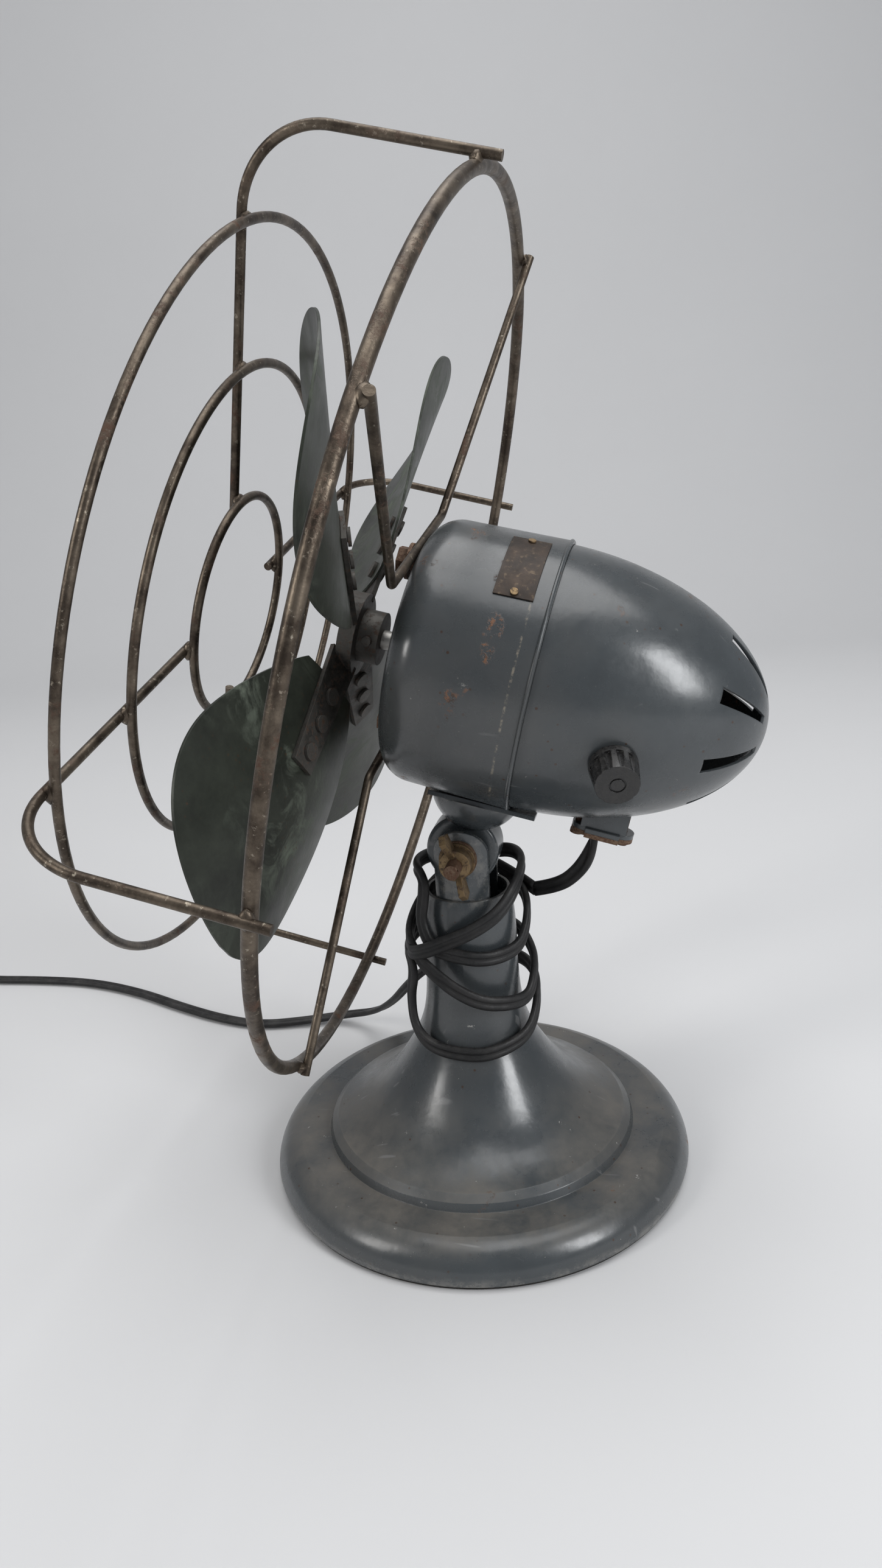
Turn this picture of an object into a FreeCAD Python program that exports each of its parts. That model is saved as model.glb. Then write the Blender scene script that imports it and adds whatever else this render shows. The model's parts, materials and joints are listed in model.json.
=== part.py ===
"""Desk fan with a bullet-shaped motor, a wire guard, a tilting head and a round cast base.

Row frame: millimetres, +Z up, origin at the middle of the base on the table, the fan blows towards -Y.
Head parts are drawn level, with the pivot bolt at the origin, then tilted and lifted into place.
Along the motor, "s" is the distance forward of the pivot bolt, "r" the distance from the motor axis
and "phi" the angle from straight up towards +X, in degrees.
"""
import FreeCAD, Part
import math
import os

V = FreeCAD.Vector
X_AXIS = V(1, 0, 0)
Y_AXIS = V(0, 1, 0)
Z_AXIS = V(0, 0, 1)
ORIGIN = V(0, 0, 0)

# ---- stand ----------------------------------------------------------------
BASE_R = 95.0                # rim of the base
BASE_EDGE_Z = 4.5            # height of the widest line of the rim
BASE_DECK_Z = 17.0           # flat ring inside the rim
BASE_DECK_R = 84.0
STEP_R = 69.0                # raised round step
STEP_Z = 21.0
BASE_WALL = 4.0
NECK_TOP_Z = 131.5
NECK_TOP_R = 18.3
NECK_WAIST_Z = 94.0
NECK_WAIST_R = 20.6
FLARE_Z = 68.0               # where the neck starts to spread into the base
FLARE_R = 24.2
NECK_WALL = 1.3              # at the rim, around the fork
FORK_DEPTH = 28.0            # how far the fork sits down in the neck
FELT_T = 1.6
FELT_R_IN = 83.0
COVER_T = 1.2
COVER_R = 81.5
COVER_SCREW_R = 70.0         # circle of the cover screws
COVER_SCREWS = 3
M4_R = 2.0
STUD_R = 3.0                 # tie stud between fork and base
FIT = 0.05                   # running clearance, radial
SLIP = 0.10                  # seat clearance of a dropped-in part, radial

# ---- pivot ----------------------------------------------------------------
PIVOT_Z = 151.0
TILT_DEG = 14.75             # nose up, at rest
BOLT_R = 3.175
BOLT_TIP_X = 33.0
BOLT_HEAD_T = 4.4
BOLT_HEAD_AF = 11.1
FORK_WALL = 2.2
EAR_HALF = 11.5              # half width of a fork ear, and its rounded top
KNUCKLE_R = 15.5
KNUCKLE_HALF = 8.5
DOME_R = 20.0
DOME_Z = 28.5                # centre of the dome above the bolt
WASHER_T = 1.6
WASHER_R = 8.0
WING_HUB_R = 6.6
WING_HUB_L = 7.0
WING_SPAN = 14.5
WING_T = 2.6
WING_TURN = 17.0             # how the wing nut was left, degrees

# ---- motor ----------------------------------------------------------------
AXIS_H = 79.35               # motor axis above the pivot bolt
BELL_FRONT_S = 40.0
BELL_FRONT_R = 54.2
BELL_CORNER = 13.2
SEAM_S = -16.0
SEAM_R = 55.3
SHEET = 1.2                  # shell thickness
TAIL_R = 53.9
TAIL_L = 90.4
SPIGOT_L = 7.0               # tail collar inside the lip of the bell
SLOTS = 8
SLOT_PHI = 62.0
SLOT_R_OUT = 36.0
SLOT_R_IN = 15.2
SLOT_W_OUT = 6.4
SLOT_W_IN = 3.0
SHAFT_R = 4.0
SHAFT_REAR_S = -44.0
STATOR_R = 51.6
STATOR_BORE = 27.6
STATOR_S = (-13.0, 13.0)
AIR_GAP = 0.4
COIL_R = (30.0, 42.0)
COIL_L = 9.0
TIE_R = 47.4                 # circle of the through bolts
TIES = 4
BUSH_R = 8.0
BUSH_L = 13.0
BOSS_R = 12.0
BRACKET_S = -31.0            # rear bearing bracket
BRACKET_T = 3.0
BRACKET_R = 49.4

# ---- fan ------------------------------------------------------------------
BLADES = 4
BLADE_PHI = 133.2
BLADE_S = 65.4               # where the blade's middle line crosses
BLADE_PITCH = (28.0, 14.1)   # root and tip, degrees
BLADE_CAMBER = 10.2          # edges forward of the middle line at full half width
BLADE_HALF = 47.7            # half width halfway along
BLADE_WIDER = 0.33           # share that the tip half is wider by
BLADE_ROUND = 1.8            # exponent of the rounded outline
BLADE_TIP_R = 144.0
BLADE_HEEL_R = 15.0          # where the outline would close at the root
BLADE_ROOT_R = 25.0          # where the blade is cut off
BLADE_T = 1.0
ARM_T = 2.0
ARM_GAP = 0.12               # paint between arm and blade
ARM_HALF = 8.5
ARM_TIP_R = 66.0
RIVET_RADII = (33.0, 46.0, 59.0)
RIVET_R = 2.0
RIVET_HEAD_R = 3.6
RIVET_HEAD_T = 1.4
SPIDER_R = 17.0
HUB_R = 9.0
HUB_S = (51.5, 63.0)

# ---- guard ----------------------------------------------------------------
GUARD_TURN = 15.0            # angle of the top spoke
REAR_RING_R = 174.1
REAR_RING_S = 39.2
REAR_WIRE = 2.6              # wire radii
WIRE = 1.8
FRONT_RING_S = 114.5
FRONT_RINGS = (("guard_ring_outer", 146.6), ("guard_ring_middle", 96.5), ("guard_ring_inner", 45.5))
SPOKES = 4
SPOKE_R_IN = 41.0
SPOKE_BEND = 30.0
SPOKE_END_S = 31.0
LEG_SPREAD = 41.5            # each support leg from its middle line, degrees
LEG_BEND_R = 57.0
LEG_BEND = 5.0
GUARD_SCREW_R = 36.6
GUARD_WASHER_R = 7.2
GUARD_WASHER_T = 1.4
HEX_AF = 9.5
HEX_T = 4.0

# ---- switch, plate and cord gland -----------------------------------------
KNOB_S = -51.0
KNOB_PHI = 106.0
KNOB_R = 8.6
KNOB_L = 12.0
KNOB_FLUTES = 12
SPINDLE_R = 3.0
PLATE_S = (-9.0, 6.0)
PLATE_PHI = (13.0, 49.0)
PLATE_T = 0.6
GLAND_S = (-68.0, -42.0)
GLAND_R = 55.5               # underside level of the seat, below the motor axis
GLAND_T = 2.0
GLAND_HALF = 8.0
GLAND_SCREW_S = (-63.5, -44.5)
LEAD_S = -52.5

# ---- cord -----------------------------------------------------------------
CORD_R = 3.3
WRAP_Z = (62.0, 134.0)
WRAP_GAP = 1.0
WRAP_R = (33.6, 32.4)        # outside, bottom and top
LEAD_ROUTE = ((-1.6, 48.0, 138.6), (-5.5, 38.9, 130.2), (-11.0, 27.9, 126.2))
RUN_ROUTE = ((-31.0, 3.0, 84.0), (-36.0, -14.0, 79.0), (-46.0, -31.0, 68.0), (-62.0, -46.0, 50.0),
             (-79.0, -60.0, 29.0), (-96.0, -76.0, 12.0), (-104.0, -97.0, 4.4), (-98.0, -121.0, 3.6),
             (-92.0, -146.0, 3.5), (-97.0, -172.0, 3.5), (-108.0, -202.0, 3.5), (-123.0, -236.0, 3.5),
             (-133.0, -274.0, 3.5), (-133.0, -314.0, 3.5), (-130.0, -350.0, 3.5), (-138.0, -380.0, 3.5))
COIL_X = -112.0
COIL_Y = -416.0
COIL_MEAN_R = 37.0
COIL_SECTION = (10.5, 15.0)  # half width and height of the heap of turns
PLUG_L = 30.0
PLUG_SECTION = (22.0, 17.0)


def save(name, shape):
    """Write one sub-part; a compound stays a group of separate solids."""
    if not shape.isValid():
        raise ValueError(name + " is not a valid shape")
    shape.exportStep("parts/" + name + ".step")
    print("%-24s solids %2d  volume %10.1f mm3" % (name, len(shape.Solids), shape.Volume))


def group(shapes):
    """Separate solids in one node."""
    return Part.makeCompound(list(shapes))


def polygon_face(points):
    """Face inside straight lines through the points."""
    return Part.Face(Part.makePolygon(list(points) + [points[0]]))


def cylinder(radius, start, end):
    """Cylinder from one point to another."""
    return Part.makeCylinder(radius, (end - start).Length, start, end - start)


def tube_piece(radius, bore, start, end):
    """Hollow cylinder from one point to another."""
    return cylinder(radius, start, end).cut(cylinder(bore, start, end))


def hexagon(across_flats, start, end):
    """Hexagonal prism along a line, flats square to world Z where it can be."""
    axis = (end - start).normalize()
    side = axis.cross(Z_AXIS)
    if side.Length < 0.1:
        side = X_AXIS
    side.normalize()
    up = side.cross(axis)
    corner = across_flats / math.sqrt(3)
    ring = [start + side * (corner * math.cos(math.radians(60 * k))) + up * (corner * math.sin(math.radians(60 * k)))
            for k in range(6)]
    return polygon_face(ring).extrude(end - start)


def rounded_path(points, factor=0.45, radii=None):
    """Straight runs joined by tangent arcs; returns the wire and the arc radii."""
    pts = [V(*p) if not isinstance(p, FreeCAD.Vector) else p for p in points]
    edges = []
    bends = []
    here = pts[0]
    for k in range(1, len(pts) - 1):
        before = pts[k - 1] - pts[k]
        after = pts[k + 1] - pts[k]
        run = min(before.Length, after.Length)
        before.normalize()
        after.normalize()
        turn = math.pi - before.getAngle(after)
        radius = factor * run / math.tan(turn / 2) if radii is None else radii[k - 1]
        back = radius * math.tan(turn / 2)
        first = pts[k] + before * back
        last = pts[k] + after * back
        toward = (before + after).normalize()
        middle = pts[k] + toward * (radius / math.cos(turn / 2) - radius)
        if (first - here).Length > 1e-6:
            edges.append(Part.LineSegment(here, first).toShape())
        edges.append(Part.Arc(first, middle, last).toShape())
        bends.append(radius)
        here = last
    edges.append(Part.LineSegment(here, pts[-1]).toShape())
    return Part.Wire(edges), bends


def wire_rod(points, radius, radii=None, factor=0.45):
    """Round bar along a rounded path."""
    path, bends = rounded_path(points, factor, radii)
    start = path.Edges[0].valueAt(path.Edges[0].FirstParameter)
    heading = path.Edges[0].tangentAt(path.Edges[0].FirstParameter)
    section = Part.Wire([Part.Circle(start, heading, radius).toShape()])
    return path.makePipeShell([section], True, False), path, bends


# ---- head frame -------------------------------------------------------------
def at(s, r, phi):
    """Point of the level head: s forward of the bolt, r from the motor axis at angle phi."""
    turn = math.radians(phi)
    return V(r * math.sin(turn), -s, AXIS_H + r * math.cos(turn))


def outward(phi):
    """Unit vector straight out from the motor axis at angle phi."""
    turn = math.radians(phi)
    return V(math.sin(turn), 0, math.cos(turn))


AXIS_0 = V(0, 0, AXIS_H)
FORWARD = V(0, -1, 0)


def turned(points):
    """Solid turned about the motor axis from (s, r) corners."""
    return polygon_face([at(s, r, 0) for s, r in points]).revolve(AXIS_0, Y_AXIS, 360)


def around_motor(shape, count):
    """Copies of a shape, evenly spaced about the motor axis."""
    copies = []
    for k in range(count):
        copy = shape.copy()
        copy.rotate(AXIS_0, Y_AXIS, -360.0 * k / count)
        copies.append(copy)
    return copies


def place_head(shape):
    """Tilt a level head part about the bolt and lift it to the bolt."""
    placed = shape.copy()
    placed.rotate(ORIGIN, X_AXIS, -TILT_DEG)
    placed.translate(V(0, 0, PIVOT_Z))
    return placed


def save_head(name, shape):
    save(name, place_head(shape))




# ---- stand parts --------------------------------------------------------------
def neck_radius(z):
    """Outside of the neck above the flare, in two straight tapers."""
    if z >= NECK_WAIST_Z:
        share = (z - NECK_WAIST_Z) / (NECK_TOP_Z - NECK_WAIST_Z)
        return NECK_WAIST_R + (NECK_TOP_R - NECK_WAIST_R) * share
    share = (z - FLARE_Z) / (NECK_WAIST_Z - FLARE_Z)
    return FLARE_R + (NECK_WAIST_R - FLARE_R) * share


def section(r, z):
    return V(r, 0, z)


def base_outline():
    """Edges of the outside of the casting, from the neck rim down to the underside of the rim."""
    flare = Part.BSplineCurve()
    flare.interpolate([section(NECK_TOP_R, NECK_TOP_Z), section(NECK_WAIST_R, NECK_WAIST_Z),
                       section(FLARE_R, FLARE_Z), section(FLARE_R + 7.0, FLARE_Z - 14.0),
                       section(FLARE_R + 18.0, FLARE_Z - 29.0), section(STEP_R - 12.0, STEP_Z + 6.0),
                       section(STEP_R - 3.0, STEP_Z + 2.0)])
    edge_mid = section(BASE_R - 3.4, BASE_DECK_Z - 4.6)
    return [flare.toShape(),
            Part.LineSegment(section(STEP_R - 3.0, STEP_Z + 2.0), section(STEP_R, STEP_Z - 0.5)).toShape(),
            Part.LineSegment(section(STEP_R, STEP_Z - 0.5), section(STEP_R + 1.2, BASE_DECK_Z)).toShape(),
            Part.LineSegment(section(STEP_R + 1.2, BASE_DECK_Z), section(BASE_DECK_R, BASE_DECK_Z)).toShape(),
            Part.Arc(section(BASE_DECK_R, BASE_DECK_Z), edge_mid, section(BASE_R, BASE_EDGE_Z)).toShape(),
            Part.LineSegment(section(BASE_R, BASE_EDGE_Z), section(BASE_R - 0.6, FELT_T)).toShape()]


def make_base():
    """Cast base: skirt, step, flare and neck, hollow below, bored for the fork above."""
    fork_floor = NECK_TOP_Z - FORK_DEPTH
    bore = NECK_TOP_R - NECK_WALL
    outer = base_outline()
    inside = [section(BASE_R - 0.6, FELT_T), section(BASE_R - BASE_WALL - 8.6, FELT_T),
              section(BASE_R - BASE_WALL - 8.6, FELT_T + COVER_T), section(BASE_DECK_R, BASE_DECK_Z - BASE_WALL),
              section(STEP_R - BASE_WALL, STEP_Z - BASE_WALL), section(FLARE_R + 14.0, FLARE_Z - 34.0),
              section(FLARE_R - BASE_WALL - 1.0, FLARE_Z - 8.0), section(NECK_WAIST_R - BASE_WALL - 3.0, fork_floor - 4.0),
              section(STUD_R + SLIP, fork_floor - 4.0), section(STUD_R + SLIP, fork_floor),
              section(bore, fork_floor), section(bore, NECK_TOP_Z), section(NECK_TOP_R, NECK_TOP_Z)]
    edges = outer + [Part.LineSegment(a, b).toShape() for a, b in zip(inside, inside[1:])]
    body = Part.Face(Part.Wire(edges)).revolve(ORIGIN, Z_AXIS, 360)
    for k in range(COVER_SCREWS):
        turn = math.radians(90 + 360.0 * k / COVER_SCREWS)
        foot = V(COVER_SCREW_R * math.cos(turn), COVER_SCREW_R * math.sin(turn), FELT_T + COVER_T)
        body = body.fuse(cylinder(4.5, foot, V(foot.x, foot.y, BASE_DECK_Z - 0.5)))
        body = body.cut(cylinder(M4_R, foot, foot + V(0, 0, 8.0)))
    return body.removeSplitter()


def cover_screw_spots():
    for k in range(COVER_SCREWS):
        turn = math.radians(90 + 360.0 * k / COVER_SCREWS)
        yield V(COVER_SCREW_R * math.cos(turn), COVER_SCREW_R * math.sin(turn), FELT_T)


def make_stand():
    save("base_casting", make_base())
    felt = tube_piece(BASE_R - 1.6, FELT_R_IN, ORIGIN, V(0, 0, FELT_T))
    save("felt_ring", felt)
    cover = cylinder(COVER_R, V(0, 0, FELT_T), V(0, 0, FELT_T + COVER_T))
    cover = cover.cut(cylinder(STUD_R + SLIP, V(0, 0, 0), V(0, 0, 9)))
    screws = []
    for spot in cover_screw_spots():
        cover = cover.cut(cylinder(M4_R + SLIP, spot, spot + V(0, 0, COVER_T)))
        head = cylinder(3.6, spot - V(0, 0, 1.2), spot)
        screws.append(head.fuse(cylinder(M4_R, spot, spot + V(0, 0, COVER_T + 6.0))))
    save("bottom_cover", cover)
    save("cover_screws", group(screws))

    fork_floor = NECK_TOP_Z - FORK_DEPTH
    outside = NECK_TOP_R - NECK_WALL - SLIP
    top = PIVOT_Z + EAR_HALF
    fork = tube_piece(outside, outside - FORK_WALL, V(0, 0, fork_floor), V(0, 0, top))
    fork = fork.fuse(cylinder(outside, V(0, 0, fork_floor), V(0, 0, fork_floor + 3.0)))
    gap_floor = NECK_TOP_Z - 6.0
    for side in (1, -1):
        low = EAR_HALF if side > 0 else -EAR_HALF - 20
        fork = fork.cut(Part.makeBox(60, 20, 60, V(-30, low, gap_floor)))
    ear_trim = Part.makeBox(60, 2 * EAR_HALF + 2, 20, V(-30, -EAR_HALF - 1, PIVOT_Z))
    ear_trim = ear_trim.cut(cylinder(EAR_HALF, V(-31, 0, PIVOT_Z), V(31, 0, PIVOT_Z)))
    fork = fork.cut(ear_trim)
    fork = fork.cut(cylinder(BOLT_R + SLIP, V(-30, 0, PIVOT_Z), V(30, 0, PIVOT_Z)))
    fork = fork.cut(cylinder(STUD_R + SLIP, V(0, 0, fork_floor - 1), V(0, 0, fork_floor + 4)))
    save("fork", fork.removeSplitter())

    stud_top = fork_floor + 3.0 + 8.0
    bridge_z = 40.0
    bridge = Part.makeBox(2 * (FLARE_R + 6.0), 14.0, 4.0, V(-FLARE_R - 6.0, -7.0, bridge_z - 4.0))
    bridge = bridge.cut(cylinder(STUD_R + SLIP, V(0, 0, bridge_z - 5), V(0, 0, bridge_z + 1)))
    save("tie_bar", bridge)
    save("tie_stud", cylinder(STUD_R, V(0, 0, bridge_z - 12.0), V(0, 0, stud_top)))
    nuts = [hexagon(10.0, V(0, 0, fork_floor + 3.0), V(0, 0, fork_floor + 8.0)),
            hexagon(10.0, V(0, 0, bridge_z - 9.0), V(0, 0, bridge_z - 4.0))]
    save("tie_nuts", group(nut.cut(cylinder(STUD_R, V(0, 0, 0), V(0, 0, 150))) for nut in nuts))

    ear_x = outside
    bolt = cylinder(BOLT_R, V(-ear_x - WASHER_T, 0, PIVOT_Z), V(BOLT_TIP_X, 0, PIVOT_Z))
    bolt = bolt.fuse(hexagon(BOLT_HEAD_AF, V(-ear_x - WASHER_T - BOLT_HEAD_T, 0, PIVOT_Z),
                             V(-ear_x - WASHER_T, 0, PIVOT_Z)))
    save("pivot_bolt", bolt)
    washers = [tube_piece(WASHER_R, BOLT_R + SLIP, V(side * ear_x, 0, PIVOT_Z),
                          V(side * (ear_x + WASHER_T), 0, PIVOT_Z)) for side in (1, -1)]
    save("pivot_washers", group(washers))

    face_x = ear_x + WASHER_T + FIT
    nut = cylinder(WING_HUB_R, V(face_x, 0, PIVOT_Z), V(face_x + WING_HUB_L, 0, PIVOT_Z))
    rim = cylinder(WING_HUB_R + 1.0, V(face_x, 0, PIVOT_Z), V(face_x + 1.6, 0, PIVOT_Z))
    nut = nut.fuse(rim)
    for side in (1, -1):
        ring = [V(face_x + 1.2, 0, PIVOT_Z + side * 3.0), V(face_x + 6.6, 0, PIVOT_Z + side * 3.0),
                V(face_x + 12.4, 0, PIVOT_Z + side * WING_SPAN * 0.80),
                V(face_x + 9.4, 0, PIVOT_Z + side * WING_SPAN),
                V(face_x + 4.0, 0, PIVOT_Z + side * WING_SPAN * 0.93)]
        wing = polygon_face(ring).extrude(V(0, WING_T, 0))
        wing.translate(V(0, -WING_T / 2, 0))
        nut = nut.fuse(wing)
    nut = nut.cut(cylinder(BOLT_R + FIT, V(0, 0, PIVOT_Z), V(60, 0, PIVOT_Z)))
    nut.rotate(V(0, 0, PIVOT_Z), X_AXIS, WING_TURN)
    save("wing_nut", nut.removeSplitter())


# ---- motor shells ---------------------------------------------------------------
def bell_edges(inset):
    """Front shell outline, set in by a wall: from the axis out, round the corner and back to the lip."""
    corner = BELL_CORNER - inset
    front = BELL_FRONT_S - inset
    flat_r = BELL_FRONT_R - BELL_CORNER
    side_r = BELL_FRONT_R - inset
    mid = math.sqrt(0.5)
    a = at(front, 0, 0)
    b = at(front, flat_r, 0)
    m = at(front - corner * (1 - mid), flat_r + corner * mid, 0)
    c = at(front - corner, side_r, 0)
    d = at(SEAM_S, SEAM_R - inset, 0)
    return [Part.LineSegment(a, b).toShape(), Part.Arc(b, m, c).toShape(), Part.LineSegment(c, d).toShape()]


def bell_filled(inset=0.0):
    edges = bell_edges(inset)
    start = edges[0].Vertexes[0].Point
    end = at(SEAM_S, SEAM_R - inset, 0)
    foot = at(SEAM_S, 0, 0)
    edges += [Part.LineSegment(end, foot).toShape(), Part.LineSegment(foot, start).toShape()]
    return Part.Face(Part.Wire(edges)).revolve(AXIS_0, Y_AXIS, 360)


def tail_filled(inset=0.0):
    """Half ellipsoid behind the seam."""
    long_r = TAIL_L - inset
    short_r = TAIL_R - inset
    centre = at(SEAM_S, 0, 0)
    ellipse = Part.Ellipse(centre + V(0, long_r, 0), centre + V(0, 0, short_r), centre)
    arc = None
    for first, last in ((0, math.pi / 2), (math.pi * 1.5, math.pi * 2)):
        trial = Part.ArcOfEllipse(ellipse, first, last).toShape()
        if trial.CenterOfMass.z > AXIS_H:
            arc = trial
    edges = [arc, Part.LineSegment(at(SEAM_S, short_r, 0), centre).toShape(),
             Part.LineSegment(centre, centre + V(0, long_r, 0)).toShape()]
    wire = Part.Wire(Part.__sortEdges__(edges))
    return Part.Face(wire).revolve(AXIS_0, Y_AXIS, 360)


def tail_radius(s):
    """Outside radius of the tail shell at s."""
    share = (SEAM_S - s) / TAIL_L
    return TAIL_R * math.sqrt(max(0.0, 1.0 - share * share))


def tie_spots():
    return [45.0 + GUARD_TURN + 360.0 * k / TIES for k in range(TIES)]


def make_shells():
    bell = bell_filled().cut(bell_filled(SHEET))
    lip_clear = turned([(SEAM_S - 1, 0), (SEAM_S + 0.01, 0), (SEAM_S + 0.01, SEAM_R - SHEET), (SEAM_S - 1, SEAM_R - SHEET)])
    bell = bell.cut(lip_clear)
    inner = bell_filled(SHEET)
    boss_back = BELL_FRONT_S - BUSH_L
    bell = bell.fuse(turned([(BELL_FRONT_S - 0.2, 0), (boss_back, 0), (boss_back, BOSS_R), (BELL_FRONT_S - 0.2, BOSS_R)]))
    for phi in tie_spots():
        lug = cylinder(5.0, at(STATOR_S[1] + 1.0, TIE_R, phi), at(BELL_FRONT_S, TIE_R, phi)).common(inner)
        bell = bell.fuse(lug)
    for phi in tie_spots():
        bell = bell.cut(cylinder(M4_R, at(STATOR_S[1], TIE_R, phi), at(STATOR_S[1] + 12.0, TIE_R, phi)))
    bell = bell.cut(cylinder(BUSH_R, at(boss_back - 1, 0, 0), at(BELL_FRONT_S + 1, 0, 0)))
    for phi in guard_screw_angles():
        bell = bell.cut(cylinder(2.5, at(BELL_FRONT_S - 6, GUARD_SCREW_R, phi), at(BELL_FRONT_S + 1, GUARD_SCREW_R, phi)))
    for spot in plate_rivet_spots():
        bell = bell.cut(rivet_shank(spot))
    save_head("front_housing", bell.removeSplitter())

    collar_r = TAIL_R - 0.5
    tail = tail_filled().cut(tail_filled(SHEET))
    tail = tail.fuse(turned([(SEAM_S - 0.6, TAIL_R - SHEET - 0.2), (SEAM_S + SPIGOT_L, TAIL_R - SHEET - 0.6),
                             (SEAM_S + SPIGOT_L, collar_r - 0.3), (SEAM_S, collar_r), (SEAM_S - 0.6, collar_r)]))
    deep = 20.0
    for k in range(SLOTS):
        phi = SLOT_PHI + 360.0 * k / SLOTS
        tail = tail.cut(slot_cutter(phi, deep))
    tail = tail.cut(top_vent())
    tail = tail.cut(cylinder(SPINDLE_R + 1.5, knob_point(-20), knob_point(20)))
    tail = tail.cut(lead_hole(4.2))
    for s in GLAND_SCREW_S:
        tail = tail.cut(cylinder(1.5, at(s, 30, 180), at(s, 60, 180)))
    save_head("rear_housing", tail.removeSplitter())


def slot_cutter(phi, deep):
    """Tapered slot, wide outboard and narrow near the tip of the tail."""
    across = Y_AXIS.cross(outward(phi))
    far = SEAM_S - TAIL_L - deep
    near = SEAM_S - TAIL_L * 0.5
    corners = []
    for r, w in ((SLOT_R_IN, SLOT_W_IN), (SLOT_R_OUT, SLOT_W_OUT)):
        for side in (1, -1):
            corners.append(at(near, r, phi) + across * (side * w / 2))
    a, b, c, d = corners
    return polygon_face([a, b, d, c]).extrude(V(0, near - far, 0))


VENT_PHI = -9.0
VENT_S = (-68.0, -44.0)
VENT_HALF = 4.0


def top_vent():
    """Long rounded hole on top of the tail."""
    ends = [cylinder(VENT_HALF, at(s, 30, VENT_PHI), at(s, 60, VENT_PHI)) for s in VENT_S]
    across = Y_AXIS.cross(outward(VENT_PHI)) * VENT_HALF
    ring = [at(VENT_S[0], 30, VENT_PHI) + across, at(VENT_S[0], 30, VENT_PHI) - across,
            at(VENT_S[1], 30, VENT_PHI) - across, at(VENT_S[1], 30, VENT_PHI) + across]
    return ends[0].fuse(ends[1]).fuse(polygon_face(ring).extrude(outward(VENT_PHI) * 30))


def lead_hole(radius):
    return cylinder(radius, at(LEAD_S, 30, 180), at(LEAD_S, 62, 180))


# ---- motor inside -----------------------------------------------------------------
def make_motor():
    s0, s1 = STATOR_S
    core = turned([(s0, STATOR_BORE), (s1, STATOR_BORE), (s1, STATOR_R), (s0, STATOR_R)])
    for phi in tie_spots():
        core = core.cut(cylinder(M4_R + SLIP, at(s0 - 1, TIE_R, phi), at(s1 + 1, TIE_R, phi)))
    save_head("stator_core", core)
    rings = [turned([(a, COIL_R[0]), (b, COIL_R[0] + 2.0), (b, COIL_R[1] - 2.0), (a, COIL_R[1])])
             for a, b in ((s1, s1 + COIL_L), (s0, s0 - COIL_L))]
    save_head("stator_windings", group(rings))

    bracket = turned([(BRACKET_S, BUSH_R), (BRACKET_S, BRACKET_R), (BRACKET_S - BRACKET_T, BRACKET_R),
                      (BRACKET_S - BRACKET_T, BOSS_R), (BRACKET_S - BUSH_L + 2.0, BOSS_R),
                      (BRACKET_S - BUSH_L + 2.0, BUSH_R)])
    for k in range(TIES):
        phi = GUARD_TURN + 360.0 * k / TIES
        bracket = bracket.cut(cylinder(9.0, at(BRACKET_S + 1, 28, phi), at(BRACKET_S - BRACKET_T - 1, 28, phi)))
    for phi in tie_spots():
        bracket = bracket.cut(cylinder(M4_R + SLIP, at(BRACKET_S + 1, TIE_R, phi), at(BRACKET_S - BRACKET_T - 1, TIE_R, phi)))
    save_head("rear_bearing_bracket", bracket)

    front = turned([(BELL_FRONT_S, SHAFT_R + FIT), (BELL_FRONT_S, BUSH_R), (BELL_FRONT_S - BUSH_L, BUSH_R),
                    (BELL_FRONT_S - BUSH_L, SHAFT_R + FIT)])
    save_head("front_bearing", front)
    back_end = BRACKET_S - BUSH_L + 2.0
    rear = turned([(BRACKET_S, SHAFT_R + FIT), (BRACKET_S, BUSH_R), (back_end, BUSH_R), (back_end, SHAFT_R + FIT)])
    save_head("rear_bearing", rear)

    bolts = []
    spacers = []
    for phi in tie_spots():
        back = at(BRACKET_S - BRACKET_T, TIE_R, phi)
        bolt = cylinder(M4_R, back, at(s1 + 12.0, TIE_R, phi))
        bolts.append(bolt.fuse(cylinder(2.0 + 0.9, back - FORWARD * 2.0, back)))
        spacers.append(tube_piece(3.6, M4_R + SLIP, at(BRACKET_S, TIE_R, phi), at(s0, TIE_R, phi)))
    save_head("through_bolts", group(bolts))
    save_head("bracket_spacers", group(spacers))

    rotor_r = STATOR_BORE - AIR_GAP
    rotor = turned([(s0, SHAFT_R), (s0, rotor_r), (s1, rotor_r), (s1, SHAFT_R)])
    save_head("rotor_core", rotor)
    shaft = cylinder(SHAFT_R, at(SHAFT_REAR_S, 0, 0), at(HUB_S[1] - 0.5, 0, 0))
    save_head("shaft", shaft)
    collars = [turned([(s1, SHAFT_R), (s1, SHAFT_R + 3), (BELL_FRONT_S - BUSH_L - 0.4, SHAFT_R + 3),
                       (BELL_FRONT_S - BUSH_L - 0.4, SHAFT_R)]),
               turned([(s0, SHAFT_R), (s0, SHAFT_R + 3), (BRACKET_S + 0.4, SHAFT_R + 3), (BRACKET_S + 0.4, SHAFT_R)])]
    save_head("thrust_collars", group(collars))


# ---- fan ----------------------------------------------------------------------------
def blade_point(r, v, lift=0.0):
    """Point of the blade sheet: r along its middle line, v across it, lift off the sheet's front."""
    share = (r - BLADE_HEEL_R) / (BLADE_TIP_R - BLADE_HEEL_R)
    pitch = math.radians(BLADE_PITCH[0] + (BLADE_PITCH[1] - BLADE_PITCH[0]) * share)
    out = outward(BLADE_PHI)
    tangent = V(out.z, 0, -out.x)
    cup = BLADE_CAMBER * (v / BLADE_HALF) ** 2
    along = v * math.cos(pitch) + lift * math.sin(pitch)
    ahead = -v * math.sin(pitch) + cup + lift * math.cos(pitch)
    return AXIS_0 + out * r + tangent * along + FORWARD * (BLADE_S + ahead)


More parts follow.
